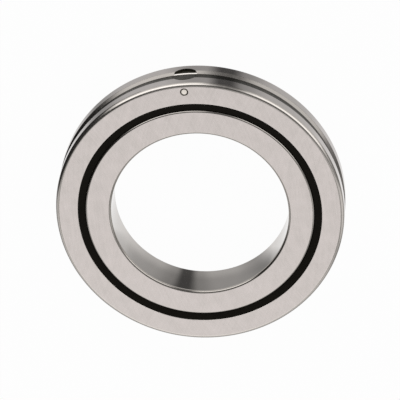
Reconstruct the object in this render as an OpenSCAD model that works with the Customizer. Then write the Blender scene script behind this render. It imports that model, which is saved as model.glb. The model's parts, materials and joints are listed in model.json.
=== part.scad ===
// Crossed roller bearing with one-piece rings, sealed on both faces.
// Short cylindrical rollers lie in a V raceway with their axes at 45 degrees to the bearing's
// axis, each at right angles to its neighbours, with a saddle-shaped separator between them.
// They are loaded through a radial hole in the outer ring, which a pinned plug closes.
// Frame: origin at the bearing's centre, +Z out of the front face, which has the plug's pin,
// and +Y out through the plug.

/* [Rings] */
// Bore of the inner ring
bore_d = 40; // [34:0.5:60]
// Height from the bore to the circle through the rollers' centres
bore_to_pitch = 6.65; // [5:0.05:9]
// Height from the circle through the rollers' centres to the rim
pitch_to_rim = 5.85; // [5.4:0.05:9]
// Width of both rings
width = 10; // [9:0.5:16]
// Gap between the rings beside the raceways
ring_gap = 1.7; // [1.3:0.1:2.2]
// Rounding of the outer ring's rim corners
rim_corner = 0.7; // [0.3:0.05:1]
// Rounding of the bore's corners
bore_corner = 0.6; // [0.3:0.05:0.9]
// Rounding of the inner ring's corners beside the seals
shoulder_corner = 0.45; // [0.1:0.05:0.6]
// Chamfer that breaks the outer ring's other edges
edge_break = 0.1; // [0.05:0.01:0.2]

/* [Rollers] */
// Number of rollers, half of them tilted each way
roller_count = 26; // [20:2:26]
// Roller diameter
roller_d = 5; // [4.6:0.1:5.2]
// How much shorter a roller is than its diameter
roller_end_play = 0.2; // [0.16:0.02:0.4]
// Chamfer of the rollers' ends
roller_chamfer = 0.3; // [0.15:0.05:0.5]
// Running clearance between a roller and a raceway
race_gap = 0.06; // [0.04:0.01:0.1]
// Radius of the relief in the bottom of the raceways
race_relief_r = 0.35; // [0.2:0.05:0.45]

/* [Separators] */
// Depth of a separator's saddles
saddle_depth = 0.9; // [0.6:0.05:1.1]
// Clearance between a saddle and its roller
saddle_gap = 0.06; // [0.04:0.01:0.1]
// Clearance between a separator and the raceways
separator_gap = 0.2; // [0.12:0.02:0.3]
// Radius that trims a separator's corners
separator_trim_r = 3.05; // [2.7:0.05:3.2]

/* [Seals] */
// Thickness of a seal
seal_t = 1.1; // [0.9:0.05:1.2]
// Depth of a seal's outer edge below the rings' faces
seal_recess = 0.1; // [0:0.05:0.2]
// Depth of a seal's lip below the rings' faces
lip_recess = 0.35; // [0.2:0.05:0.5]
// Thickness of a seal's lip where it meets the inner ring
lip_t = 0.4; // [0.25:0.05:0.6]
// Running clearance between a seal's lip and the inner ring
lip_gap = 0.05; // [0.03:0.01:0.1]
// Depth of the outer ring's seal grooves
seal_groove_depth = 0.6; // [0.3:0.05:0.9]
// Width of the outer ring's seal grooves
seal_groove_w = 0.7; // [0.4:0.05:0.75]
// Clearance round the part of a seal that sits in the outer ring
seal_fit = 0.02; // [0.01:0.01:0.04]

/* [Oil supply] */
// Width of the oil groove round the rim
oil_groove_w = 3.5; // [2.6:0.1:4.5]
// Depth of the oil groove
oil_groove_depth = 0.6; // [0.5:0.05:0.8]
// Angle between the oil groove's flanks and its floor
oil_groove_flank = 45; // [40:5:60]
// Number of oil holes, spaced evenly with the plug
oil_hole_count = 2; // [1:1:3]
// Diameter of the oil holes
oil_hole_d = 1.5; // [0.8:0.1:2.5]

/* [Plug and pin] */
// How much wider the loading hole is than a roller
loading_gap = 0.26; // [0.1:0.02:0.4]
// Clearance round the plug and round its pin
plug_fit = 0.02; // [0.01:0.01:0.05]
// Depth of the plug's end below the rim
plug_recess = 0.4; // [0.1:0.05:0.45]
// Diameter of the pin's hole
pin_hole_d = 1.6; // [1.2:0.1:2]
// Distance of the pin's axis from the rim
pin_inset = 2; // [1.8:0.1:2.6]
// Widening of the pin's hole at the face
pin_countersink = 0.12; // [0.05:0.01:0.2]
// Depth of the pin's end below the face
pin_recess = 0.08; // [0.02:0.01:0.2]
// Chamfer of the pin's ends
pin_chamfer = 0.15; // [0.05:0.05:0.3]
// Wall between the pin's hole and the raceway
pin_wall = 0.3; // [0.2:0.05:0.6]

/* [Hidden] */

$fn = 96;
plug_angle = 90;
tilt = 45;

bore_r = bore_d / 2;
pitch_r = bore_r + bore_to_pitch;
outer_r = pitch_r + pitch_to_rim;
inner_shoulder_r = pitch_r - ring_gap / 2;
outer_shoulder_r = pitch_r + ring_gap / 2;
face_z = width / 2;

// The raceways of both rings together are a square stood on its corner round the pitch circle
race_side = roller_d + 2 * race_gap;
race_apex = race_side / sqrt(2);
outer_apex_r = pitch_r + race_apex;

roller_l = roller_d - roller_end_play;
roller_step = 360 / roller_count;
roller_chord = 2 * pitch_r * sin(roller_step / 2);

separator_t = roller_chord - roller_d + 2 * saddle_depth;
separator_side = race_side - 2 * separator_gap;

oil_floor_r = outer_r - oil_groove_depth;
oil_floor_w = oil_groove_w - 2 * oil_groove_depth / tan(oil_groove_flank);
seal_groove_r = outer_shoulder_r + seal_groove_depth;
seal_mid_z = face_z - seal_recess - seal_t / 2;

loading_hole_d = roller_d + loading_gap;
plug_d = loading_hole_d - 2 * plug_fit;
plug_r = outer_r - plug_recess;
pin_d = pin_hole_d - 2 * plug_fit;
pin_r = outer_r - pin_inset;
// The pin's hole stops short of the sloping raceway, and at the plug's middle at the latest
pin_hole_z = max(0, outer_apex_r - (pin_r - pin_hole_d / 2) + pin_wall * sqrt(2));

function roller_angle(i) = plug_angle + roller_step * (i - 1);
function roller_tilt(i) = i % 2 == 1 ? tilt : -tilt;

// What a rounding of radius r takes off an outline's corner at the origin,
// where the outline lies towards -X and -Y
module corner_waste(r) {
    translate([-r, -r])
        difference() {
            square(2 * r);
            circle(r);
        }
}

// Repeats a half section on both sides of the middle plane
module both_sides() {
    children();
    mirror([0, 1]) children();
}

// Section of the space that the raceways leave, with the reliefs in the bottom of each V
module race_section() {
    translate([pitch_r, 0]) {
        rotate(tilt) square(race_side, center = true);
        for (side = [-1, 1])
            translate([side * race_apex, 0]) circle(race_relief_r);
    }
}

// What a chamfer of edge_break takes off an outline's corner at the origin
module edge_waste() {
    rotate(tilt) square(edge_break * sqrt(2), center = true);
}

// Section of the oil groove, which widens on past the rim at the slope of its flanks
module oil_groove_section() {
    mouth_r = outer_r + oil_groove_depth;
    mouth_w = 2 * oil_groove_w - oil_floor_w;
    polygon([
        [oil_floor_r, -oil_floor_w / 2],
        [mouth_r, -mouth_w / 2],
        [mouth_r, mouth_w / 2],
        [oil_floor_r, oil_floor_w / 2]
    ]);
}

// Section of an outer ring of outside radius r, without its seal grooves
module outer_blank_section(r) {
    difference() {
        translate([outer_shoulder_r, -face_z]) square([r - outer_shoulder_r, width]);
        race_section();
        oil_groove_section();
    }
}

module outer_section() {
    difference() {
        outer_blank_section(outer_r);
        both_sides() {
            translate([outer_r, face_z]) corner_waste(rim_corner);
            translate([outer_shoulder_r, face_z]) edge_waste();
            translate([outer_shoulder_r - seal_groove_depth, seal_mid_z - seal_groove_w / 2])
                square([2 * seal_groove_depth, seal_groove_w]);
        }
    }
}

module inner_section() {
    difference() {
        translate([bore_r, -face_z]) square([inner_shoulder_r - bore_r, width]);
        race_section();
        both_sides() {
            translate([inner_shoulder_r, face_z]) corner_waste(shoulder_corner);
            translate([bore_r, face_z]) mirror([1, 0]) corner_waste(bore_corner);
        }
    }
}

// Section of the front seal: a bead in the outer ring's groove, a body across the gap
// and a lip that thins towards the inner ring
module seal_section() {
    rim_r = outer_shoulder_r - seal_fit;
    lip_r = inner_shoulder_r + lip_gap;
    top_z = face_z - seal_recess;
    lip_z = face_z - lip_recess;
    bead_w = seal_groove_w - 2 * seal_fit;
    polygon([
        [rim_r, top_z],
        [lip_r, lip_z],
        [lip_r, lip_z - lip_t],
        [(lip_r + rim_r) / 2, top_z - seal_t],
        [rim_r, top_z - seal_t]
    ]);
    translate([(lip_r + rim_r) / 2, seal_mid_z - bead_w / 2])
        square([seal_groove_r - seal_fit - (lip_r + rim_r) / 2, bead_w]);
}

// A bar that runs out from the bearing's axis along the plug
module plug_bar(d) {
    rotate([0, 0, plug_angle]) rotate([0, 90, 0]) cylinder(d = d, h = 2 * outer_r);
}

// The pin's blind hole, countersunk at the face
module pin_hole() {
    rotate([0, 0, plug_angle]) translate([pin_r, 0, 0]) {
        translate([0, 0, pin_hole_z]) cylinder(d = pin_hole_d, h = width);
        translate([0, 0, face_z - pin_countersink])
            cylinder(d1 = pin_hole_d, d2 = pin_hole_d + 4 * pin_countersink, h = 2 * pin_countersink);
    }
}

module oil_holes() {
    step = 360 / (oil_hole_count + 1);
    for (i = [1 : oil_hole_count])
        rotate([0, 0, plug_angle + step * i])
            translate([pitch_r, 0, 0])
                rotate([0, 90, 0]) cylinder(d = oil_hole_d, h = outer_r);
}

module outer_ring() {
    color("#cbc5c1")
        difference() {
            rotate_extrude() outer_section();
            plug_bar(loading_hole_d);
            pin_hole();
            oil_holes();
        }
}

module inner_ring() {
    color("#c8c0bd") rotate_extrude() inner_section();
}

module loading_plug() {
    color("#aaa5a1")
        difference() {
            intersection() {
                rotate_extrude() outer_blank_section(plug_r);
                plug_bar(plug_d);
            }
            pin_hole();
        }
}

module plug_pin() {
    foot_z = pin_hole_z + plug_fit;
    head_z = face_z - pin_recess;
    end_r = pin_d / 2 - pin_chamfer;
    color("#dedad6")
        rotate([0, 0, plug_angle]) translate([pin_r, 0, 0])
            rotate_extrude()
                polygon([
                    [0, foot_z],
                    [end_r, foot_z],
                    [pin_d / 2, foot_z + pin_chamfer],
                    [pin_d / 2, head_z - pin_chamfer],
                    [end_r, head_z],
                    [0, head_z]
                ]);
}

module front_seal() {
    color("#16130f") rotate_extrude() seal_section();
}

module rear_seal() {
    color("#16130f") rotate_extrude() mirror([0, 1]) seal_section();
}

// Moves its children, drawn along Z at the origin, to roller i's place
module at_roller(i) {
    rotate([0, 0, roller_angle(i)])
        translate([pitch_r, 0, 0])
            rotate([0, roller_tilt(i), 0]) children();
}

module roller(i) {
    r = roller_d / 2;
    half = roller_l / 2;
    color("#d6d6d8")
        at_roller(i)
            rotate_extrude()
                polygon([
                    [0, -half],
                    [r - roller_chamfer, -half],
                    [r, roller_chamfer - half],
                    [r, half - roller_chamfer],
                    [r - roller_chamfer, half],
                    [0, half]
                ]);
}

// The separator that follows roller i, hollowed on each side by that side's roller
module separator(i) {
    color("#e4dcc8")
        difference() {
            rotate([0, 0, roller_angle(i + 0.5)])
                translate([pitch_r, 0, 0])
                    rotate([90, 0, 0])
                        linear_extrude(separator_t, center = true)
                            intersection() {
                                rotate(tilt) square(separator_side, center = true);
                                circle(separator_trim_r);
                            }
            for (k = [i, i + 1])
                at_roller(k) cylinder(d = roller_d + 2 * saddle_gap, h = 2 * roller_d, center = true);
        }
}

outer_ring();
inner_ring();
loading_plug();
plug_pin();
front_seal();
rear_seal();
for (i = [1 : roller_count]) {
    roller(i);
    separator(i);
}
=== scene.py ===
"""Crossed roller bearing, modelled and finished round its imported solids.

The rings, the loading plug, its pin and the two seals are modelled here the way they are made:
an outline is drawn, its corners are rounded, it is spun, and holes are drilled. The rollers and
separators keep their solids. Sizes are millimetres and become metres on the bench. The frame has
its origin at the bearing's centre, +Z out of the front face and +Y out through the plug.
"""
import json
import logging
import math
from collections.abc import Callable, Sequence
from dataclasses import dataclass
from enum import Enum

import bmesh
import bpy
from mathutils import Matrix, Vector


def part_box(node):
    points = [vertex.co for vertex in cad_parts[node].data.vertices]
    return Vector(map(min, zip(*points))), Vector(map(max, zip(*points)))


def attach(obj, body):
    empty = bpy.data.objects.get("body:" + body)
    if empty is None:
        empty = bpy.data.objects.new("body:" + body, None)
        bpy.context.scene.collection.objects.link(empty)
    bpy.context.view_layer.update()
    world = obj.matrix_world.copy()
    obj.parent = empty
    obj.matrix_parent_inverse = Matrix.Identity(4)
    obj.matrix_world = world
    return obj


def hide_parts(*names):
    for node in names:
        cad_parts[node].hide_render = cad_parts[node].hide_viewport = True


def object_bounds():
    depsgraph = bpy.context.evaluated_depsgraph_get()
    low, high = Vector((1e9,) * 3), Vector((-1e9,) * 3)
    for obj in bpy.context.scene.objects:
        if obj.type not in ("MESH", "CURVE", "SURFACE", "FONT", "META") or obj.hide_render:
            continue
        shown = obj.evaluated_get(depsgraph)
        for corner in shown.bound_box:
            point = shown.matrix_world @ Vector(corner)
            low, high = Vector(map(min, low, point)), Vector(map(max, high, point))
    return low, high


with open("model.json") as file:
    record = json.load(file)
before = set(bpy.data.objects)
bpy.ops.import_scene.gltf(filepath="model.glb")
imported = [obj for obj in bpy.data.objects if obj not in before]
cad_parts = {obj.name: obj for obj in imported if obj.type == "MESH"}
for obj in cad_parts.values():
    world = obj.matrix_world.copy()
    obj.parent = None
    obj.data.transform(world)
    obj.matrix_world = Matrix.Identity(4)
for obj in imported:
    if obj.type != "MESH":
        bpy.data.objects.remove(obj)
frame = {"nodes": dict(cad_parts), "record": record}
cad_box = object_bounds()

MM = 0.001
# The whole share of a shader's input, and the middle of a noise's range
FULL = 1.0
NOISE_MEAN = 0.5
# Turns in degrees
QUARTER_TURN = 90.0
HALF_TURN = 180.0
ORIGIN = (0.0, 0.0, 0.0)
UP = (0.0, 0.0, 1.0)
log = logging.getLogger("bearing")

Colour = tuple[float, float, float, float]
Triple = tuple[float, float, float]
Span = tuple[float, float]
Named = dict[str, object]
Material = bpy.types.Material
Piece = bpy.types.Object


class Race(Enum):
    """The two rings' raceways, by their side of the circle through the rollers' centres."""

    OUTER = 1
    INNER = -1


class Cut(Enum):
    """What a tool does to a piece."""

    AWAY = "DIFFERENCE"
    SHARED = "INTERSECT"


class Value:
    """A socket of a shader graph. Arithmetic on it adds Math nodes to that graph."""

    def __init__(self, graph: "Graph", socket: bpy.types.NodeSocket) -> None:
        """Keeps the socket and the graph that it belongs to."""
        self.graph = graph
        self.socket = socket

    def __add__(self, other: "Term") -> "Value":
        """Sum of this value and another."""
        return self.graph.math("ADD", self, other)

    def __radd__(self, other: "Term") -> "Value":
        """Sum with this value on the right."""
        return self.graph.math("ADD", other, self)

    def __sub__(self, other: "Term") -> "Value":
        """This value less another."""
        return self.graph.math("SUBTRACT", self, other)

    def __rsub__(self, other: "Term") -> "Value":
        """Another value less this one."""
        return self.graph.math("SUBTRACT", other, self)

    def __mul__(self, other: "Term") -> "Value":
        """Product of this value and another."""
        return self.graph.math("MULTIPLY", self, other)

    def __rmul__(self, other: "Term") -> "Value":
        """Product with this value on the right."""
        return self.graph.math("MULTIPLY", other, self)

    def __abs__(self) -> "Value":
        """Size of this value without its sign."""
        return self.graph.math("ABSOLUTE", self)

    def hypot(self, other: "Value") -> "Value":
        """Length of the vector that this value makes with another."""
        return self.graph.math("SQRT", self * self + other * other)

    def rise(self, start: float, end: float) -> "Value":
        """Adds a smooth step.

        Args:
            start: Where the step is still 0.
            end: Where the step has come to 1, on either side of the start.

        Returns:
            The step, from 0 to 1.
        """
        limits = {"Value": self, "From Min": start, "From Max": end}
        node = self.graph.add("ShaderNodeMapRange", {"interpolation_type": "SMOOTHSTEP"}, limits)
        return self.graph.output(node, "Result")


Term = Value | float


class Graph:
    """The node tree of a material or of the world."""

    def __init__(self, tree: bpy.types.NodeTree) -> None:
        """Empties the tree and keeps it."""
        tree.nodes.clear()
        self.tree = tree

    def add(self, kind: str, settings: Named | None = None, sockets: Named | None = None) -> bpy.types.Node:
        """Adds any node to the tree.

        Args:
            kind: The node's type.
            settings: The node's own properties, which are set first.
            sockets: Numbers, colours or values for its inputs, by identifier.

        Returns:
            The new node.
        """
        node = self.tree.nodes.new(kind)
        for name, setting in (settings or {}).items():
            setattr(node, name, setting)
        inputs = {socket.identifier: socket for socket in node.inputs}
        for name, given in (sockets or {}).items():
            if isinstance(given, Value):
                self.tree.links.new(given.socket, inputs[name])
            else:
                inputs[name].default_value = given
        return node

    def output(self, node: bpy.types.Node, name: str) -> Value:
        """Gives a node's output, named by its identifier, as a value."""
        return Value(self, next(socket for socket in node.outputs if socket.identifier == name))

    def math(self, operation: str, *terms: Term) -> Value:
        """Adds one Math node.

        Args:
            operation: The node's operation.
            terms: Its one to three operands.

        Returns:
            The result.
        """
        names = ("Value", "Value_001", "Value_002")
        node = self.add("ShaderNodeMath", {"operation": operation}, dict(zip(names, terms)))
        return self.output(node, "Value")

    def mix(self, factor: Term, low: Value | Colour, high: Value | Colour) -> Value:
        """Mixes two colours, by the share of the second one."""
        sockets = {"Factor_Float": factor, "A_Color": low, "B_Color": high}
        return self.output(self.add("ShaderNodeMix", {"data_type": "RGBA"}, sockets), "Result_Color")

    def stretch(self, place: Value, scale: Triple) -> Value:
        """Scales a vector by a factor along each axis."""
        sockets = {"Vector": place, "Vector_001": scale}
        return self.output(self.add("ShaderNodeVectorMath", {"operation": "MULTIPLY"}, sockets), "Vector")

    def vector(self, x: Term, y: Term, z: Term) -> Value:
        """Joins three values into a vector."""
        return self.output(self.add("ShaderNodeCombineXYZ", None, {"X": x, "Y": y, "Z": z}), "Vector")

    def parts(self, place: Value) -> list[Value]:
        """Splits a vector into its three parts."""
        node = self.add("ShaderNodeSeparateXYZ", None, {"Vector": place})
        return [self.output(node, name) for name in "XYZ"]

    def noise(self, place: Value, scale: float = 1.0, detail: float = 2.0) -> Value:
        """Adds a noise about 0, with its grains for each unit of length and its number of finer layers."""
        sockets = {"Vector": place, "Scale": scale, "Detail": detail}
        return self.output(self.add("ShaderNodeTexNoise", None, sockets), "Fac") - NOISE_MEAN

    def bearing(self, x: Value, y: Value, ahead: float) -> Value:
        """Finds how far round the axis a place lies.

        Args:
            x: First part of the place.
            y: Second part of the place.
            ahead: Azimuth in degrees that is counted from.

        Returns:
            Its turn from there in radians, counter-clockwise from above.
        """
        front = direction(ahead, 0.0)
        left = direction(ahead + QUARTER_TURN, 0.0)
        return self.math("ARCTAN2", x * left.x + y * left.y, x * front.x + y * front.y)

    def bump(self, height: Value, depth: float) -> Value:
        """Turns a height into a normal, with the depth of the relief in metres."""
        node = self.add("ShaderNodeBump", None, {"Height": height, "Distance": depth, "Strength": FULL})
        return self.output(node, "Normal")


@dataclass(frozen=True)
class Spot:
    """Where a shaded point lies on the bearing, as values of a graph in metres."""

    graph: Graph
    place: Value
    x: Value
    y: Value
    z: Value
    radius: Value

    @classmethod
    def of(cls, graph: Graph) -> "Spot":
        """Reads the Object coordinates.

        Args:
            graph: The graph that needs them.

        Returns:
            The spot, with its distance from the bearing's axis.
        """
        place = graph.output(graph.add("ShaderNodeTexCoord"), "Object")
        x, y, z = graph.parts(place)
        return cls(graph, place, x, y, z, x.hypot(y))

    def outward(self, start: float, end: float) -> Value:
        """Adds a smooth step by the distance from the axis, between two radii in millimetres."""
        return self.radius.rise(start * MM, end * MM)

    def from_pin(self, axis_r: float) -> Value:
        """Distance from the pin's axis, which stands at a radius in millimetres along Y."""
        return self.x.hypot(self.y - axis_r * MM)

    def grain(self, scale: Triple) -> Value:
        """Draws a noise with its own scale along each axis."""
        return self.graph.noise(self.graph.stretch(self.place, scale))


@dataclass(frozen=True)
class Surface:
    """Look of one machined surface: its colour, its roughness and how deep its tool lines are."""

    colour: Colour
    roughness: float
    lines: float = 0.0


Masked = list[tuple[Surface, Value]]


def tone(red: float, green: float, blue: float) -> Colour:
    """An opaque colour from its linear parts."""
    return (red, green, blue, FULL)


@dataclass(frozen=True)
class Finish:
    """Base of all finishes: a named material with a graph of its own."""

    name: str

    def start(self) -> tuple[Material, Graph]:
        """Makes the material, with an empty graph.

        Returns:
            The material and its graph.
        """
        material = bpy.data.materials.new(self.name)
        material.use_nodes = True
        return material, Graph(material.node_tree)

    def close(self, graph: Graph, sockets: Named) -> None:
        """Ends a graph in a Principled shader, whose inputs are given."""
        shader = graph.output(graph.add("ShaderNodeBsdfPrincipled", None, sockets), "BSDF")
        graph.add("ShaderNodeOutputMaterial", None, {"Surface": shader})


@dataclass(frozen=True, kw_only=True)
class Steel(Finish):
    """Steel with a cloudy tint and turned lines. Its surfaces may differ by their place."""

    base: Surface
    tarnish: Colour
    mottle: float = 0.24
    cloud_scale: float = 420.0
    cloud_detail: float = 3.0
    speck_scale: float = 3400.0
    line_scale: Triple = (70.0, 70.0, 9000.0)
    uneven: float = 0.30
    relief: float = 0.0004

    def surfaces(self, spot: Spot) -> Masked:
        """Lists the surfaces that differ from the base one, each with its mask. Here there are none."""
        return []

    def lines(self, spot: Spot) -> Value:
        """Draws the lines that turning leaves, as a height about 0."""
        return spot.grain(self.line_scale)

    def material(self) -> Material:
        """Makes the steel.

        Returns:
            The material, with each surface told apart by its mask.
        """
        material, graph = self.start()
        spot = Spot.of(graph)
        colour: Value | Colour = self.base.colour
        roughness: Term = self.base.roughness
        depth: Term = self.base.lines
        for surface, mask in self.surfaces(spot):
            colour = graph.mix(mask, colour, surface.colour)
            roughness = roughness + (surface.roughness - roughness) * mask
            depth = depth + (surface.lines - depth) * mask
        cloud = graph.noise(spot.place, self.cloud_scale, self.cloud_detail)
        speck = graph.noise(spot.place, self.speck_scale)
        lines = self.lines(spot)
        shade = NOISE_MEAN + cloud + (speck + lines) * depth
        self.close(graph, {
            "Base Color": graph.mix(shade * self.mottle, colour, self.tarnish),
            "Metallic": FULL,
            "Roughness": roughness * (1 + (cloud + lines) * self.uneven),
            "Normal": graph.bump(lines * depth, self.relief * MM),
        })
        return material


@dataclass(frozen=True, kw_only=True)
class GroovedSteel(Steel):
    """Steel of a piece that the oil groove runs over, with masks for round surfaces and the groove."""

    sizes: "Sizes"
    flank: Surface
    floor: Surface
    land_r: float
    blend: float = 0.02

    def at_radius(self, spot: Spot, radius: float) -> Value:
        """Masks the surface that has a given radius."""
        return abs(spot.radius - radius * MM).rise(self.blend * MM, self.blend / 2 * MM)

    def groove(self, spot: Spot) -> Masked:
        """Lists the groove's flanks and floor. Their colours carry painted shade in the groove, and on the
        plug a painted highlight on the flank.

        Args:
            spot: The shaded point.

        Returns:
            Both surfaces with their masks.
        """
        low = self.sizes.oil_floor_r - self.blend
        mouth = self.sizes.groove_half(self.land_r) + self.blend
        across = abs(spot.z).rise((mouth + self.blend) * MM, mouth * MM)
        deep = spot.outward(low - self.blend, low)
        below = spot.outward(self.land_r - self.blend / 2, self.land_r - self.blend)
        bottom = self.at_radius(spot, self.sizes.oil_floor_r)
        return [(self.flank, across * deep * below), (self.floor, across * bottom)]


@dataclass(frozen=True, kw_only=True)
class RingSteel(GroovedSteel):
    """Hardened bearing steel: satin ground faces, finer ground rim and bore, polished corners."""

    face: Surface
    rim: Surface
    bore: Surface
    shaded_inner_corner: Surface
    # Painted shade: the loading hole's wall is darkened.
    drilled: Surface
    # Painted shade: the pin's countersink is darkened.
    countersunk: Surface
    streak_scale: Triple = (1300.0, 1300.0, 20.0)
    streak_share: float = 2.0
    wheel_reach: float = 55.0
    wheel_scale: float = 2600.0
    wheel_wander: float = 60.0

    def surfaces(self, spot: Spot) -> Masked:
        """Lists the ground faces, the rim, the bore, the groove and the drilled holes. The inner ring's
        corners, the groove, the loading hole's wall and the pin's countersink are darkened with painted
        shade.

        Args:
            spot: The shaded point.

        Returns:
            Each surface with its mask.
        """
        sizes = self.sizes
        blend = self.blend
        on_face = self.on_face(spot)
        inner_r = sizes.inner_shoulder_r + blend
        inner = spot.outward(inner_r + blend, inner_r)
        wall_r = sizes.plug_r + sizes.plug_fit
        wall = spot.x.hypot(spot.z).rise((wall_r + blend) * MM, (wall_r + blend / 2) * MM)
        outside = spot.y.rise(sizes.pitch_r * MM, sizes.outer_shoulder_r * MM)
        sunk_r = sizes.pin_body_r + 2 * sizes.pin_countersink
        sunk = spot.from_pin(sizes.pin_axis_r).rise((sunk_r + blend) * MM, sunk_r * MM)
        return [
            (self.face, on_face),
            (self.rim, self.at_radius(spot, sizes.rim_r)),
            (self.shaded_inner_corner, inner * (1 - on_face)),
            (self.bore, self.at_radius(spot, sizes.bore_r)),
            *self.groove(spot),
            (self.drilled, wall * outside),
            (self.countersunk, sunk * (1 - on_face)),
        ]

    def on_face(self, spot: Spot) -> Value:
        """Masks the two flat faces."""
        top = self.sizes.face_z
        return abs(spot.z).rise((top - self.blend / 2) * MM, (top - self.blend / 4) * MM)

    def lines(self, spot: Spot) -> Value:
        """Draws what grinding leaves: lines round the rim and bore, and crossing arcs on a face.

        Args:
            spot: The shaded point.

        Returns:
            The lines' height, about 0.
        """
        turned = super().lines(spot) + spot.grain(self.streak_scale) * self.streak_share
        arcs = self.arc(spot, self.wheel_reach) + self.arc(spot, -self.wheel_reach)
        return turned + (arcs - turned) * self.on_face(spot)

    def arc(self, spot: Spot, reach: float) -> Value:
        """Draws the arcs of one pass of the grinding wheel over a face.

        Args:
            spot: The shaded point.
            reach: Where the wheel's axis stands along X.

        Returns:
            The arcs' height, about 0.
        """
        swing = (spot.x - reach * MM).hypot(spot.y) * self.wheel_scale
        drift = [part * self.wheel_wander for part in (spot.x, spot.y)]
        return spot.graph.noise(spot.graph.vector(swing, *drift))


@dataclass(frozen=True, kw_only=True)
class PlugSteel(GroovedSteel):
    """Steel of the plug, near black with painted shade in its recess, with a painted highlight where the
    groove runs across it.
    """

    def surfaces(self, spot: Spot) -> Masked:
        """Lists the groove's two surfaces with their masks."""
        return self.groove(spot)


@dataclass(frozen=True, kw_only=True)
class PinSteel(Steel):
    """Bright steel of the pin's head, darker round its edge: painted shade at the chamfer."""

    sizes: "Sizes"
    edge: Surface
    blend: float = 0.04

    def surfaces(self, spot: Spot) -> Masked:
        """Lists the head's edge.

        Args:
            spot: The shaded point.

        Returns:
            The edge with its mask.
        """
        head_r = self.sizes.pin_body_r - self.sizes.pin_chamfer
        from_pin = spot.from_pin(self.sizes.pin_axis_r)
        return [(self.edge, from_pin.rise((head_r - self.blend) * MM, head_r * MM))]


@dataclass(frozen=True)
class Moulded(Finish):
    """A moulded material with clouds of a second colour and a fine skin."""

    colour: Colour
    clouds: Colour
    roughness: float
    uneven: float
    skin_share: float
    cloud_scale: float
    cloud_detail: float
    skin_scale: float
    relief: float = 0.004

    def extra(self) -> Named:
        """Lists what else the shader's inputs take. Here that is nothing."""
        return {}

    def material(self) -> Material:
        """Makes the material.

        Returns:
            The material.
        """
        material, graph = self.start()
        spot = Spot.of(graph)
        cloud = graph.noise(spot.place, self.cloud_scale, self.cloud_detail)
        skin = graph.noise(spot.place, self.skin_scale)
        self.close(graph, {
            "Base Color": graph.mix(NOISE_MEAN + cloud, self.colour, self.clouds),
            "Roughness": self.roughness + (cloud + skin * self.skin_share) * self.uneven,
            "Normal": graph.bump(skin, self.relief * MM),
            **self.extra(),
        })
        return material


@dataclass(frozen=True)
class SealRubber(Moulded):
    """Black nitrile rubber with a trace of dust."""

    colour: Colour = tone(0.0062, 0.0053, 0.0039)
    clouds: Colour = tone(0.0125, 0.0107, 0.0079)
    roughness: float = 0.55
    uneven: float = 0.2
    skin_share: float = 1.0
    cloud_scale: float = 420.0
    cloud_detail: float = 4.0
    skin_scale: float = 9000.0
    gloss: float = 0.04

    def extra(self) -> Named:
        """Keeps the rubber dull."""
        return {"Specular IOR Level": self.gloss}


@dataclass(frozen=True)
class SeparatorResin(Moulded):
    """Natural nylon, which lets a little light in."""

    colour: Colour = tone(0.72, 0.66, 0.52)
    clouds: Colour = tone(0.60, 0.53, 0.39)
    roughness: float = 0.42
    uneven: float = 0.15
    skin_share: float = 0.0
    cloud_scale: float = 600.0
    cloud_detail: float = 3.0
    skin_scale: float = 7000.0
    glow_share: float = 0.08
    glow_reach: Triple = (0.8, 0.6, 0.4)

    def extra(self) -> Named:
        """Lets light in under the skin."""
        reach = tuple(length * MM for length in self.glow_reach)
        return {"Subsurface Weight": self.glow_share, "Subsurface Radius": reach}


@dataclass(frozen=True)
class Corner:
    """A corner of a section: its radius and height, and its rounding with the facets of that."""

    r: float
    z: float
    rounding: float = 0.0
    facets: int = 3


def both_halves(front: Sequence[Corner]) -> list[Corner]:
    """Follows the front half of a section with its mirror image, the rear half."""
    return [*front, *(Corner(c.r, -c.z, c.rounding, c.facets) for c in reversed(front))]


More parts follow.
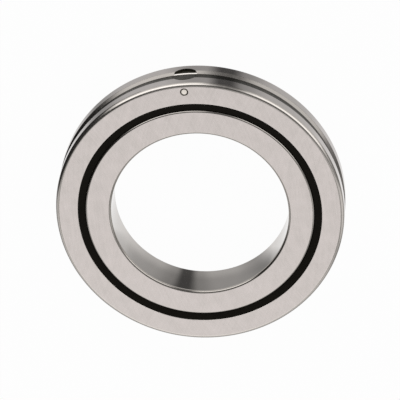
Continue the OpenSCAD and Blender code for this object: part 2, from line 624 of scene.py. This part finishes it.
@dataclass(frozen=True)
class Sizes:
    """The bearing's driving sizes in millimetres, with angles in degrees."""

    rim_r: float
    bore_r: float
    face_z: float
    inner_shoulder_r: float
    seal_bead_r: float
    plug_bar_r: float
    plug_end_r: float
    pin_axis_r: float
    pin_body_r: float
    pin_foot_z: float
    pin_head_z: float
    ring_gap: float = 1.7
    rim_corner: float = 0.95
    bore_corner: float = 0.6
    shoulder_corner: float = 0.45
    edge_break: float = 0.1
    oil_groove_w: float = 3.5
    oil_groove_depth: float = 0.6
    oil_groove_flank: float = 45.0
    oil_hole_r: float = 0.75
    roller_r: float = 2.5
    race_gap: float = 0.06
    race_relief_r: float = 0.35
    relief_turn: float = 135.0
    relief_facets: int = 8
    seal_t: float = 1.1
    seal_recess: float = 0.1
    lip_recess: float = 0.35
    lip_t: float = 0.4
    lip_gap: float = 0.05
    seal_groove_w: float = 0.7
    seal_fit: float = 0.02
    plug_fit: float = 0.02
    plug_growth: float = 0.25
    pin_countersink: float = 0.12
    pin_chamfer: float = 0.15

    @classmethod
    def from_frame(cls) -> "Sizes":
        """Reads what the frame gives.

        Returns:
            The sizes, with those that the frame doesn't hold at their own values.
        """
        radii = {mount["name"]: mount["dims"].get("r_mm") for mount in frame["record"]["mounts"]}
        _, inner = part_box("inner_ring")
        _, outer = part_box("outer_ring")
        _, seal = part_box("front_seal")
        _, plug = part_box("loading_plug")
        pin_low, pin_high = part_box("plug_pin")
        return cls(
            rim_r=radii["rim"],
            bore_r=radii["bore"],
            face_z=outer.z / MM,
            inner_shoulder_r=inner.x / MM,
            seal_bead_r=seal.x / MM,
            plug_bar_r=plug.x / MM,
            plug_end_r=plug.y / MM,
            pin_axis_r=(pin_low.y + pin_high.y) / 2 / MM,
            pin_body_r=pin_high.x / MM,
            pin_foot_z=pin_low.z / MM,
            pin_head_z=pin_high.z / MM,
        )

    @property
    def pitch_r(self) -> float:
        """Radius of the circle through the rollers' centres."""
        return self.inner_shoulder_r + self.ring_gap / 2

    @property
    def outer_shoulder_r(self) -> float:
        """Radius of the outer ring beside its raceway."""
        return self.pitch_r + self.ring_gap / 2

    @property
    def oil_floor_r(self) -> float:
        """Radius of the oil groove's floor."""
        return self.rim_r - self.oil_groove_depth

    @property
    def plug_r(self) -> float:
        """Radius of the plug as the photograph shows it, a little over its solid's."""
        return self.plug_bar_r + self.plug_growth

    def groove_half(self, radius: float) -> float:
        """Half the oil groove's width at a radius."""
        return self.oil_groove_w / 2 - (self.rim_r - radius) / math.tan(math.radians(self.oil_groove_flank))

    @property
    def race_apex(self) -> float:
        """Depth of a raceway's V from the pitch circle."""
        return (self.roller_r + self.race_gap) * math.sqrt(2)

    @property
    def seal_mid_z(self) -> float:
        """Height of the middle of the front seal."""
        return self.face_z - self.seal_recess - self.seal_t / 2

    def race(self, ring: Race) -> list[Corner]:
        """Draws a ring's V raceway, with the relief in the bottom of the V.

        Args:
            ring: The outer ring's, drawn towards the front, or the inner one's, drawn towards the rear.

        Returns:
            The corners from one shoulder to the other.
        """
        side = ring.value
        shoulder_r = self.pitch_r + side * self.ring_gap / 2
        mouth_z = self.race_apex - self.ring_gap / 2
        apex_r = self.pitch_r + side * self.race_apex
        step = 2 * self.relief_turn / self.relief_facets
        angles = [math.radians(step * index - self.relief_turn) for index in range(self.relief_facets + 1)]
        relief = [
            Corner(
                apex_r + side * self.race_relief_r * math.cos(angle),
                side * self.race_relief_r * math.sin(angle),
            )
            for angle in angles
        ]
        return [Corner(shoulder_r, -side * mouth_z), *relief, Corner(shoulder_r, side * mouth_z)]


class Bench:
    """Modelling steps that the pieces share, each done on the one piece in hand."""

    weld = 1e-7
    reach = 1e-6
    crease = math.radians(25)

    @staticmethod
    def clear() -> None:
        """Leaves edit mode and deselects everything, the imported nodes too."""
        if bpy.context.object is not None and bpy.context.object.mode != "OBJECT":
            bpy.ops.object.mode_set(mode="OBJECT")
        bpy.ops.object.select_all(action="DESELECT")

    @staticmethod
    def take(piece: Piece) -> None:
        """Selects one piece alone, in object mode.

        Args:
            piece: The piece.
        """
        Bench.clear()
        piece.select_set(True)
        bpy.context.view_layer.objects.active = piece

    @staticmethod
    def outline(name: str, corners: Sequence[Corner]) -> Piece:
        """Draws a closed section in the XZ plane by pulling one vertex from corner to corner.

        Args:
            name: Name of the new piece.
            corners: The section's corners, in order.

        Returns:
            The piece, a loop of edges, left in edit mode.
        """
        Bench.clear()
        bpy.ops.mesh.primitive_plane_add(size=MM)
        piece = bpy.context.object
        piece.name = name
        piece.data.name = name
        bpy.ops.object.mode_set(mode="EDIT")
        bpy.ops.mesh.select_all(action="SELECT")
        bpy.ops.mesh.merge(type="CENTER")
        spots = [Vector((corner.r, 0.0, corner.z)) * MM for corner in corners]
        bpy.ops.transform.translate(value=spots[0])
        for start, end in zip(spots, [*spots[1:], spots[0]]):
            bpy.ops.mesh.extrude_vertices_move(TRANSFORM_OT_translate={"value": end - start})
        bpy.ops.mesh.select_all(action="SELECT")
        bpy.ops.mesh.remove_doubles(threshold=Bench.weld)
        for corner, spot in zip(corners, spots):
            if corner.rounding > 0:
                Bench.pick(piece, lambda place: (place - spot).length < Bench.reach)
                bpy.ops.mesh.bevel(offset=corner.rounding * MM, segments=corner.facets, affect="VERTICES")
        return piece

    @staticmethod
    def pick(piece: Piece, test: Callable[[Vector], bool]) -> None:
        """Selects vertices of the piece that is in edit mode.

        Args:
            piece: The piece.
            test: Says of a place whether its vertex is wanted.
        """
        bpy.ops.mesh.select_mode(type="VERT")
        bpy.ops.mesh.select_all(action="DESELECT")
        mesh = bmesh.from_edit_mesh(piece.data)
        for vertex in mesh.verts:
            vertex.select_set(test(vertex.co))
        mesh.select_flush(True)
        bmesh.update_edit_mesh(piece.data)

    @staticmethod
    def spin(steps: int) -> None:
        """Spins the section in hand into a closed ring about the Z axis.

        Args:
            steps: Number of its segments.
        """
        bpy.ops.mesh.select_all(action="SELECT")
        bpy.ops.mesh.spin(steps=steps, angle=math.tau, center=ORIGIN, axis=UP)
        bpy.ops.mesh.select_all(action="SELECT")
        bpy.ops.mesh.remove_doubles(threshold=Bench.weld)
        bpy.ops.mesh.normals_make_consistent(inside=False)

    @staticmethod
    def drill(name: str, radius: float, start: Vector, end: Vector, facets: int = 96) -> Piece:
        """Makes a straight round bar, to drill with or to shape further.

        Args:
            name: Name of the bar.
            radius: Its radius.
            start: Middle of one end.
            end: Middle of the other end.
            facets: Number of its sides.

        Returns:
            The bar, with its place in its mesh.
        """
        Bench.clear()
        way = end - start
        turn = way.to_track_quat("Z", "Y").to_euler()
        bpy.ops.mesh.primitive_cylinder_add(
            vertices=facets, radius=radius * MM, depth=way.length * MM,
            location=(start + end) / 2 * MM, rotation=turn,
        )
        bar = bpy.context.object
        bar.name = name
        bar.data.name = name
        bpy.ops.object.transform_apply(location=True, rotation=True, scale=True)
        return bar

    @staticmethod
    def cut(piece: Piece, tool: Piece, cut: Cut) -> None:
        """Cuts a piece with a tool and puts the tool away.

        Args:
            piece: The piece.
            tool: The tool, which is deleted.
            cut: Whether the tool takes away or leaves what they share.
        """
        Bench.take(piece)
        modifier = piece.modifiers.new("cut", "BOOLEAN")
        modifier.operation = cut.value
        modifier.solver = "EXACT"
        modifier.object = tool
        bpy.ops.object.modifier_apply(modifier=modifier.name)
        mesh = tool.data
        bpy.data.objects.remove(tool)
        bpy.data.meshes.remove(mesh)

    @staticmethod
    def smooth(piece: Piece) -> None:
        """Shades a piece smooth up to its creases, with its flat faces kept flat.

        Args:
            piece: The piece.
        """
        Bench.take(piece)
        bpy.ops.object.shade_smooth_by_angle(angle=Bench.crease)
        modifier = piece.modifiers.new("flat_faces", "WEIGHTED_NORMAL")
        modifier.keep_sharp = True
        bpy.ops.object.modifier_apply(modifier=modifier.name)

    @staticmethod
    def fit(piece: Piece, node: str, slot: str, body: str, material: Material) -> None:
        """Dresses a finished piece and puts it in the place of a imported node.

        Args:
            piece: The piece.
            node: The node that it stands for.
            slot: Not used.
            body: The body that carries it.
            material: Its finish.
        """
        Bench.smooth(piece)
        piece.data.materials.clear()
        piece.data.materials.append(material)
        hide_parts(node)
        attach(piece, body)
        log.info("%s: %d faces, rides on %s", piece.name, len(piece.data.polygons), body)


@dataclass
class PinHole:
    """The countersunk blind hole that the plug's pin sits in."""

    sizes: Sizes
    facets: int = 64

    def tool(self) -> Piece:
        """Makes a tool of the hole's shape.

        Returns:
            The tool, standing at the hole's place.
        """
        sizes = self.sizes
        hole_r = sizes.pin_body_r + sizes.plug_fit
        floor_z = sizes.pin_foot_z - sizes.plug_fit
        top_z = sizes.face_z + sizes.pin_countersink
        tool = Bench.outline("pin_hole_tool", [
            Corner(0.0, floor_z),
            Corner(hole_r, floor_z),
            Corner(hole_r, sizes.face_z - sizes.pin_countersink),
            Corner(hole_r + 2 * sizes.pin_countersink, top_z),
            Corner(0.0, top_z),
        ])
        Bench.spin(self.facets)
        bpy.ops.transform.translate(value=(0, sizes.pin_axis_r * MM, 0))
        Bench.clear()
        return tool


@dataclass
class OuterRing:
    """The outer ring, with its oil groove and holes, the loading plug in it and the plug's pin."""

    sizes: Sizes
    steel: Material
    plug_steel: Material
    pin_steel: Material
    body: str = "outer"
    segments: int = 360
    corner_facets: int = 10
    overrun: float = 1.0
    plug_facets: int = 128
    oil_holes: int = 2
    oil_facets: int = 48
    floor_fillet: float = 0.08
    pin_facets: int = 48
    pin_edge_facets: int = 4
    pin_crown: float = 0.03

    def build(self) -> None:
        """Makes the ring, the plug and the pin in the order of the real work."""
        self.make_ring()
        self.make_plug()
        self.make_pin()

    def section(self, radius: float, end: Sequence[Corner]) -> list[Corner]:
        """Draws a section, with the oil groove outside and the raceway inside.

        Args:
            radius: Radius of the lands beside the oil groove.
            end: The section's front corners, outside first, repeated in mirror at the rear.

        Returns:
            The corners.
        """
        sizes = self.sizes
        floor_r = sizes.oil_floor_r
        front = [
            *reversed(end),
            Corner(radius, sizes.groove_half(radius), sizes.edge_break),
            Corner(floor_r, sizes.groove_half(floor_r), self.floor_fillet),
        ]
        return [*both_halves(front), *sizes.race(Race.OUTER)]

    def way_in(self) -> tuple[Vector, Vector]:
        """Ends of the line that the loading hole is drilled along, past both of its mouths."""
        return Vector((0.0, self.sizes.pitch_r, 0.0)), Vector((0.0, self.sizes.rim_r + self.overrun, 0.0))

    def make_ring(self) -> None:
        """Turns the ring, drills it and puts it in place."""
        sizes = self.sizes
        shoulder_r = sizes.outer_shoulder_r
        seal_r = sizes.seal_bead_r + sizes.seal_fit
        seal_low = sizes.seal_mid_z - sizes.seal_groove_w / 2
        seal_high = sizes.seal_mid_z + sizes.seal_groove_w / 2
        face = [
            Corner(sizes.rim_r, sizes.face_z, sizes.rim_corner, self.corner_facets),
            Corner(shoulder_r, sizes.face_z, sizes.edge_break),
            Corner(shoulder_r, seal_high),
            Corner(seal_r, seal_high),
            Corner(seal_r, seal_low),
            Corner(shoulder_r, seal_low),
        ]
        ring = Bench.outline("outer_ring_ground", self.section(sizes.rim_r, face))
        Bench.spin(self.segments)
        hole_r = sizes.plug_r + sizes.plug_fit
        Bench.cut(ring, Bench.drill("loading_hole_tool", hole_r, *self.way_in()), Cut.AWAY)
        Bench.cut(ring, PinHole(sizes).tool(), Cut.AWAY)
        for index in range(1, self.oil_holes + 1):
            turn = Matrix.Rotation(math.tau * index / (self.oil_holes + 1), 3, "Z")
            ends = [turn @ end for end in self.way_in()]
            tool = Bench.drill("oil_hole_tool", sizes.oil_hole_r, *ends, self.oil_facets)
            Bench.cut(ring, tool, Cut.AWAY)
        Bench.fit(ring, "outer_ring", "ring_steel", self.body, self.steel)

    def make_plug(self) -> None:
        """Cuts the plug from a bar, so that groove and raceway run on across it."""
        sizes = self.sizes
        end = [Corner(sizes.plug_end_r, sizes.face_z), Corner(sizes.outer_shoulder_r, sizes.face_z)]
        blank = Bench.outline("plug_blank", self.section(sizes.plug_end_r, end))
        Bench.spin(self.segments)
        plug = Bench.drill("loading_plug_fitted", sizes.plug_r, *self.way_in(), self.plug_facets)
        Bench.cut(plug, blank, Cut.SHARED)
        Bench.cut(plug, PinHole(sizes).tool(), Cut.AWAY)
        Bench.fit(plug, "loading_plug", "plug_steel", self.body, self.plug_steel)

    def make_pin(self) -> None:
        """Turns the pin, with a slightly crowned head, a quarter of whose fall lies in its inner half."""
        sizes = self.sizes
        radius = sizes.pin_body_r
        chamfer = sizes.pin_chamfer
        pin = Bench.outline("plug_pin_set", [
            Corner(0.0, sizes.pin_foot_z),
            Corner(radius, sizes.pin_foot_z, chamfer, self.pin_edge_facets),
            Corner(radius, sizes.pin_head_z - self.pin_crown, chamfer, self.pin_edge_facets),
            Corner(radius / 2, sizes.pin_head_z - self.pin_crown / 4, radius / 4),
            Corner(0.0, sizes.pin_head_z),
        ])
        Bench.spin(self.pin_facets)
        bpy.ops.transform.translate(value=(0, sizes.pin_axis_r * MM, 0))
        Bench.fit(pin, "plug_pin", "pin_steel", self.body, self.pin_steel)


@dataclass
class InnerRing:
    """The inner ring, with its bore and raceway."""

    sizes: Sizes
    steel: Material
    body: str = "inner"
    segments: int = 300
    shoulder_facets: int = 6
    corner_facets: int = 10

    def build(self) -> None:
        """Turns the ring and puts it in place."""
        sizes = self.sizes
        front = [
            Corner(sizes.inner_shoulder_r, sizes.face_z, sizes.shoulder_corner, self.shoulder_facets),
            Corner(sizes.bore_r, sizes.face_z, sizes.bore_corner, self.corner_facets),
        ]
        section = [*both_halves(front), *reversed(sizes.race(Race.INNER))]
        ring = Bench.outline("inner_ring_ground", section)
        Bench.spin(self.segments)
        Bench.fit(ring, "inner_ring", "ring_steel", self.body, self.steel)


@dataclass
class Seals:
    """The two rubber seals, set in the outer ring with their lips towards the inner one."""

    sizes: Sizes
    rubber: Material
    body: str = "outer"
    segments: int = 300
    edge: float = 0.08
    over: Triple = (1.0, 1.0, -1.0)

    def build(self) -> None:
        """Moulds the front seal and turns a copy of it over for the rear."""
        front = self.mould()
        Bench.take(front)
        bpy.ops.object.duplicate(linked=False)
        rear = bpy.context.object
        rear.name = "rear_seal_moulded"
        rear.data.name = rear.name
        bpy.ops.object.mode_set(mode="EDIT")
        bpy.ops.mesh.select_all(action="SELECT")
        bpy.ops.transform.resize(value=self.over, center_override=ORIGIN)
        bpy.ops.mesh.normals_make_consistent(inside=False)
        for node, piece in (("front_seal", front), ("rear_seal", rear)):
            Bench.fit(piece, node, "seal_rubber", self.body, self.rubber)

    def mould(self) -> Piece:
        """Moulds the front seal: a bead for the ring's groove, a body and a thin lip.

        Returns:
            The seal, in object mode.
        """
        sizes = self.sizes
        rim_r = sizes.outer_shoulder_r - sizes.seal_fit
        lip_r = sizes.inner_shoulder_r + sizes.lip_gap
        heel_r = (rim_r + lip_r) / 2
        top_z = sizes.face_z - sizes.seal_recess
        lip_z = sizes.face_z - sizes.lip_recess
        low_z = top_z - sizes.seal_t
        bead = sizes.seal_groove_w / 2 - sizes.seal_fit
        seal = Bench.outline("front_seal_moulded", [
            Corner(rim_r, top_z, self.edge),
            Corner(lip_r, lip_z, self.edge),
            Corner(lip_r, lip_z - sizes.lip_t, self.edge),
            Corner(heel_r, low_z, self.edge),
            Corner(rim_r, low_z, self.edge),
            Corner(rim_r, sizes.seal_mid_z - bead),
            Corner(sizes.seal_bead_r, sizes.seal_mid_z - bead, self.edge),
            Corner(sizes.seal_bead_r, sizes.seal_mid_z + bead, self.edge),
            Corner(rim_r, sizes.seal_mid_z + bead),
        ])
        Bench.spin(self.segments)
        Bench.clear()
        return seal


@dataclass
class RollerTrain:
    """The rollers and separators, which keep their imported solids."""

    roller_steel: Material
    resin: Material

    def dress(self) -> None:
        """Gives every roller and separator its finish."""
        finishes = {"roller": self.roller_steel, "separator": self.resin}
        for name, node in frame["nodes"].items():
            kind = name.split("_")[0]
            if kind in finishes:
                node.data.materials[0] = finishes[kind]
                log.info("%s: finished in %s", name, finishes[kind].name)


@dataclass(frozen=True)
class Glow:
    """A change of the floor's glow beside the steel that mirrors it, a painted reflection.

    It starts and is whole at given degrees counter-clockwise from the floor's dimmest place.
    """

    start: float
    whole: float
    share: float

    def draw(self, turn: Value) -> Value:
        """Draws the change, by how far a place lies from the dimmest one in radians."""
        return turn.rise(math.radians(self.start), math.radians(self.whole)) * self.share


@dataclass(frozen=True)
class FloorSheet(Finish):
    """The pale floor: white to the camera, with a sheen for the steel that mirrors it.

    Near the bearing and in its bore it also glows in that mirror: a painted reflection, which only glossy
    rays see.
    The azimuths where it is dimmest are in degrees, and distances from the axis are in millimetres.
    """

    bore_r: float
    paper: Colour = tone(0.85, 0.85, 0.85)
    sheen: Colour = tone(0.52, 0.52, 0.52)
    white: Colour = tone(1.0, 1.0, 1.0)
    sheen_roughness: float = 0.06
    seen_white: float = 0.97
    dimmest: float = 0.04
    wall_gain: float = 0.42
    wall_near: Span = (17.2, 19.4)
    centre_white: float = 0.70
    centre_near: Span = (14.0, 9.0)
    reach_left: Span = (39.5, 36.0)
    reach_right: Span = (46.0, 39.0)
    reach_turn: float = math.radians(38.0)
    rim_dimmest: float = 163.5
    bore_dimmest: float = 344.5
    rim_glows: tuple[Glow, ...] = (
        Glow(-2.0, -8.5, 0.25),
        Glow(-7.0, -22.0, 0.26),
        Glow(-24.0, -54.0, 0.11),
        Glow(-52.0, -76.0, 0.29),
        Glow(2.0, 9.0, 0.31),
        Glow(13.0, 28.0, 0.22),
        Glow(43.0, 59.0, -0.25),
        Glow(58.0, 78.0, 0.36),
    )
    bore_glows: tuple[Glow, ...] = (
        Glow(-2.5, -7.5, 0.22),
        Glow(-6.0, -20.0, 0.20),
        Glow(-20.0, -46.0, 0.17),
        Glow(-45.0, -62.0, 0.40),
        Glow(1.0, 7.0, 0.25),
        Glow(7.0, 16.0, 0.12),
        Glow(28.0, 44.0, -0.11),
        Glow(44.0, 72.0, 0.68),
    )

    def glow(self, graph: Graph) -> Value:
        """Draws the painted reflection: how bright the sheet glows beside the steel, in the bore and round
        the rim.

        Args:
            graph: The material's graph.

        Returns:
            The share of white.
        """
        spot = Spot.of(graph)
        outside = graph.math("GREATER_THAN", spot.radius, self.bore_r * MM)
        inside = 1 - outside
        round_rim = graph.bearing(spot.x, spot.y, self.rim_dimmest)
        left = graph.math("GREATER_THAN", round_rim, self.reach_turn)
        near_left = spot.outward(*self.reach_left)
        near_right = spot.outward(*self.reach_right)
        near = outside * (near_right + (near_left - near_right) * left)
        in_bore = graph.bearing(spot.x, spot.y, self.bore_dimmest)
        share = (inside + near) * self.dimmest
        for glow in self.rim_glows:
            share = share + glow.draw(round_rim) * near
        for glow in self.bore_glows:
            share = share + glow.draw(in_bore) * inside
        wall = inside * spot.outward(*self.wall_near) * self.wall_gain
        centre = inside * spot.outward(*self.centre_near)
        return share * (1 + wall) + centre * self.centre_white

    def material(self) -> Material:
        """Makes the sheet.

        Returns:
            The material.
        """
        material, graph = self.start()
        path = graph.add("ShaderNodeLightPath")
        seen = graph.output(path, "Is Camera Ray") + graph.output(path, "Is Transmission Ray")
        mirrored = graph.output(path, "Is Glossy Ray")
        mirrored_white = mirrored * self.glow(graph)
        matt = graph.add("ShaderNodeBsdfDiffuse", None, {"Color": self.paper})
        gloss = {"Color": self.sheen, "Roughness": self.sheen_roughness}
        sheen = graph.add("ShaderNodeBsdfAnisotropic", None, gloss)
        glow = graph.add("ShaderNodeEmission", None, {"Color": self.white, "Strength": FULL})
        body = graph.add("ShaderNodeMixShader", None, {
            "Fac": mirrored,
            "Shader": graph.output(matt, "BSDF"),
            "Shader_001": graph.output(sheen, "BSDF"),
        })
        whole = graph.add("ShaderNodeMixShader", None, {
            "Fac": seen * self.seen_white + mirrored_white,
            "Shader": graph.output(body, "Shader"),
            "Shader_001": graph.output(glow, "Emission"),
        })
        graph.add("ShaderNodeOutputMaterial", None, {"Surface": graph.output(whole, "Shader")})
        return material


@dataclass(frozen=True)
class Patch:
    """A brighter or darker patch of the tent, placed in degrees counter-clockwise from the camera.

    The gain is added to what the patch changes, as a share of it.
    """

    bearing: float
    half_width: float
    softness: float
    gain: float

    def factor(self, bearing: Value) -> Value:
        """Draws the patch.

        Args:
            bearing: Where a ray goes, in radians counter-clockwise from the camera.

        Returns:
            What the tent is multiplied by there.
        """
        off = abs(bearing.graph.math("WRAP", bearing - math.radians(self.bearing), math.pi, -math.pi))
        outer = math.radians(self.half_width + self.softness)
        return 1 + off.rise(outer, math.radians(self.half_width)) * self.gain


@dataclass(frozen=True)
class Tent:
    """A tent of low soft panels round the floor, with a dark crown and one high panel behind the bearing.

    The crown is lighter in two gaps and at the zenith. Heights and reaches are in degrees.
    """

    ahead: float
    level: float = 1.85
    gloom: float = 0.012
    crown: Span = (33.0, 48.0)
    crown_share: float = 0.96
    crown_level: float = 0.07
    panel_level: float = 1.28
    panel_height: float = 55.5
    panel_reach: Span = (26.0, 10.0)
    patches: tuple[Patch, ...] = (
        Patch(-5.0, 5.0, 14.0, -0.85),
        Patch(94.0, 20.0, 17.0, -0.99),
        Patch(-50.0, 22.0, 20.0, -0.12),
        Patch(-84.0, 5.0, 12.0, -0.70),
        Patch(-108.0, 16.0, 14.0, -0.52),
        Patch(180.0, 50.0, 14.0, -0.60),
    )
    crown_gaps: tuple[Patch, ...] = (
        Patch(112.0, 16.0, 14.0, -0.70),
        Patch(-110.0, 16.0, 14.0, -0.70),
    )
    zenith: Span = (70.0, 80.0)
    zenith_level: float = 0.25

    def hang(self) -> None:
        """Makes the world of it."""
        world = bpy.data.worlds.new("tent")
        bpy.context.scene.world = world
        world.use_nodes = True
        graph = Graph(world.node_tree)
        level = self.draw(graph)
        seen = graph.output(graph.add("ShaderNodeLightPath"), "Is Camera Ray")
        sockets = {"Color": level + (1 - level) * seen, "Strength": FULL}
        light = graph.output(graph.add("ShaderNodeBackground", None, sockets), "Background")
        graph.add("ShaderNodeOutputWorld", None, {"Surface": light})

    def draw(self, graph: Graph) -> Value:
        """Draws how bright the tent is in each direction.

        Args:
            graph: The world's graph.

        Returns:
            The level, where 1 is white.
        """
        x, y, z = graph.parts(graph.output(graph.add("ShaderNodeTexCoord"), "Generated"))
        bearing = graph.bearing(x, y, self.ahead)
        level: Term = self.level
        for patch in self.patches:
            level = level * patch.factor(bearing)
        low, high, over, top = (math.sin(math.radians(height)) for height in (*self.crown, *self.zenith))
        crown = z.rise(low, high)
        for patch in self.crown_gaps:
            crown = crown * patch.factor(bearing)
        behind = direction(self.ahead + HALF_TURN, self.panel_height)
        edge, core = (math.cos(math.radians(reach)) for reach in self.panel_reach)
        panel = (x * behind.x + y * behind.y + z * behind.z).rise(edge, core) * self.panel_level
        panel = panel + z.rise(over, top) * self.zenith_level
        return level * (1 - crown * self.crown_share) + crown * self.crown_level + panel + self.gloom


def direction(azimuth: float, elevation: float) -> Vector:
    """Points from the bearing to a place in the studio.

    Args:
        azimuth: Degrees round from -Y, counter-clockwise from above.
        elevation: Degrees above the floor.

    Returns:
        The unit vector.
    """
    turn = math.radians(azimuth)
    rise = math.radians(elevation)
    flat = math.cos(rise)
    return Vector((math.sin(turn) * flat, -math.cos(turn) * flat, math.sin(rise)))


@dataclass
class Studio:
    """A pale floor in a tent of soft panels, seen by one camera."""

    bore_r: float
    azimuth: float = 166.0
    elevation: float = 61.82
    distance: float = 0.7301
    roll: float = -171.47
    field_of_view: float = 7.08
    aim: Triple = (-0.165, 0.936, 0.0)
    floor_size: float = 6.0

    def build(self) -> None:
        """Sets up the floor, the tent and the camera."""
        self.lay_floor()
        Tent(self.azimuth).hang()
        self.place_camera()
        bpy.context.scene.view_settings.view_transform = "Standard"

    def lay_floor(self) -> None:
        """Lays the floor that the bearing lies on."""
        Bench.clear()
        bpy.ops.mesh.primitive_plane_add(size=self.floor_size, location=(0, 0, cad_box[0].z))
        floor = bpy.context.object
        floor.name = "floor"
        floor.data.materials.append(FloorSheet("floor_sheet", self.bore_r).material())

    def place_camera(self) -> None:
        """Stands the camera where the photograph was taken from."""
        data = bpy.data.cameras.new("camera")
        data.sensor_fit = "HORIZONTAL"
        data.angle = math.radians(self.field_of_view)
        camera = bpy.data.objects.new("camera", data)
        bpy.context.scene.collection.objects.link(camera)
        back = direction(self.azimuth, self.elevation)
        turn = back.to_track_quat("Z", "Y").to_matrix().to_4x4()
        spot = Vector(self.aim) * MM + back * self.distance
        roll = Matrix.Rotation(math.radians(self.roll), 4, "Z")
        camera.matrix_world = Matrix.Translation(spot) @ turn @ roll
        bpy.context.scene.camera = camera


def main() -> None:
    """Builds the bearing's pieces in order and sets them in the studio."""
    logging.basicConfig(level=logging.INFO, format="%(message)s")
    sizes = Sizes.from_frame()
    steel = RingSteel(
        name="ground_ring_steel",
        sizes=sizes,
        land_r=sizes.rim_r,
        base=Surface(tone(0.620, 0.578, 0.541), 0.16),
        tarnish=tone(0.38, 0.37, 0.33),
        face=Surface(tone(0.500, 0.456, 0.440), 0.26, 0.25),
        rim=Surface(tone(0.670, 0.624, 0.603), 0.11, 0.25),
        bore=Surface(tone(0.560, 0.527, 0.502), 0.08, 0.25),
        # The inner ring's corners are darker to dim their highlights: painted shade.
        shaded_inner_corner=Surface(tone(0.400, 0.372, 0.345), 0.12),
        # The groove's flank and floor are darkened: painted shade in the groove.
        flank=Surface(tone(0.280, 0.260, 0.245), 0.20, 0.3),
        floor=Surface(tone(0.072, 0.067, 0.061), 0.25, 0.4),
        # The loading hole's wall is near black: painted shade inside the hole.
        drilled=Surface(tone(0.050, 0.045, 0.035), 0.45, 0.3),
        # The pin's countersink is dark: painted shade in the crease round the pin.
        countersunk=Surface(tone(0.100, 0.092, 0.078), 0.35, 0.2),
    ).material()
    plug_steel = PlugSteel(
        name="plug_steel_painted_shade_and_highlight",
        sizes=sizes,
        land_r=sizes.plug_end_r,
        # The plug's base is near black: painted shade in its recess.
        base=Surface(tone(0.060, 0.056, 0.040), 0.40, 0.4),
        tarnish=tone(0.035, 0.032, 0.022),
        # The plug's groove flank is brightened: painted highlight; its floor is dark with painted shade.
        flank=Surface(tone(0.800, 0.760, 0.720), 0.30, 0.2),
        floor=Surface(tone(0.110, 0.104, 0.092), 0.30, 0.4),
    ).material()
    pin_steel = PinSteel(
        name="bright_pin_steel",
        sizes=sizes,
        base=Surface(tone(0.62, 0.58, 0.53), 0.24, 0.5),
        tarnish=tone(0.50, 0.46, 0.40),
        # The head's edge is dark: painted shade in the crease round the pin.
        edge=Surface(tone(0.10, 0.09, 0.075), 0.35, 0.2),
    ).material()
    roller_steel = Steel(
        name="superfinished_roller_steel",
        base=Surface(tone(0.66, 0.65, 0.64), 0.10, 0.2),
        tarnish=tone(0.50, 0.48, 0.46),
    ).material()
    OuterRing(sizes, steel, plug_steel, pin_steel).build()
    InnerRing(sizes, steel).build()
    Seals(sizes, SealRubber("nitrile_rubber").material()).build()
    RollerTrain(roller_steel, SeparatorResin("natural_nylon").material()).dress()
    Studio(sizes.bore_r).build()


if __name__ == "__main__":
    main()
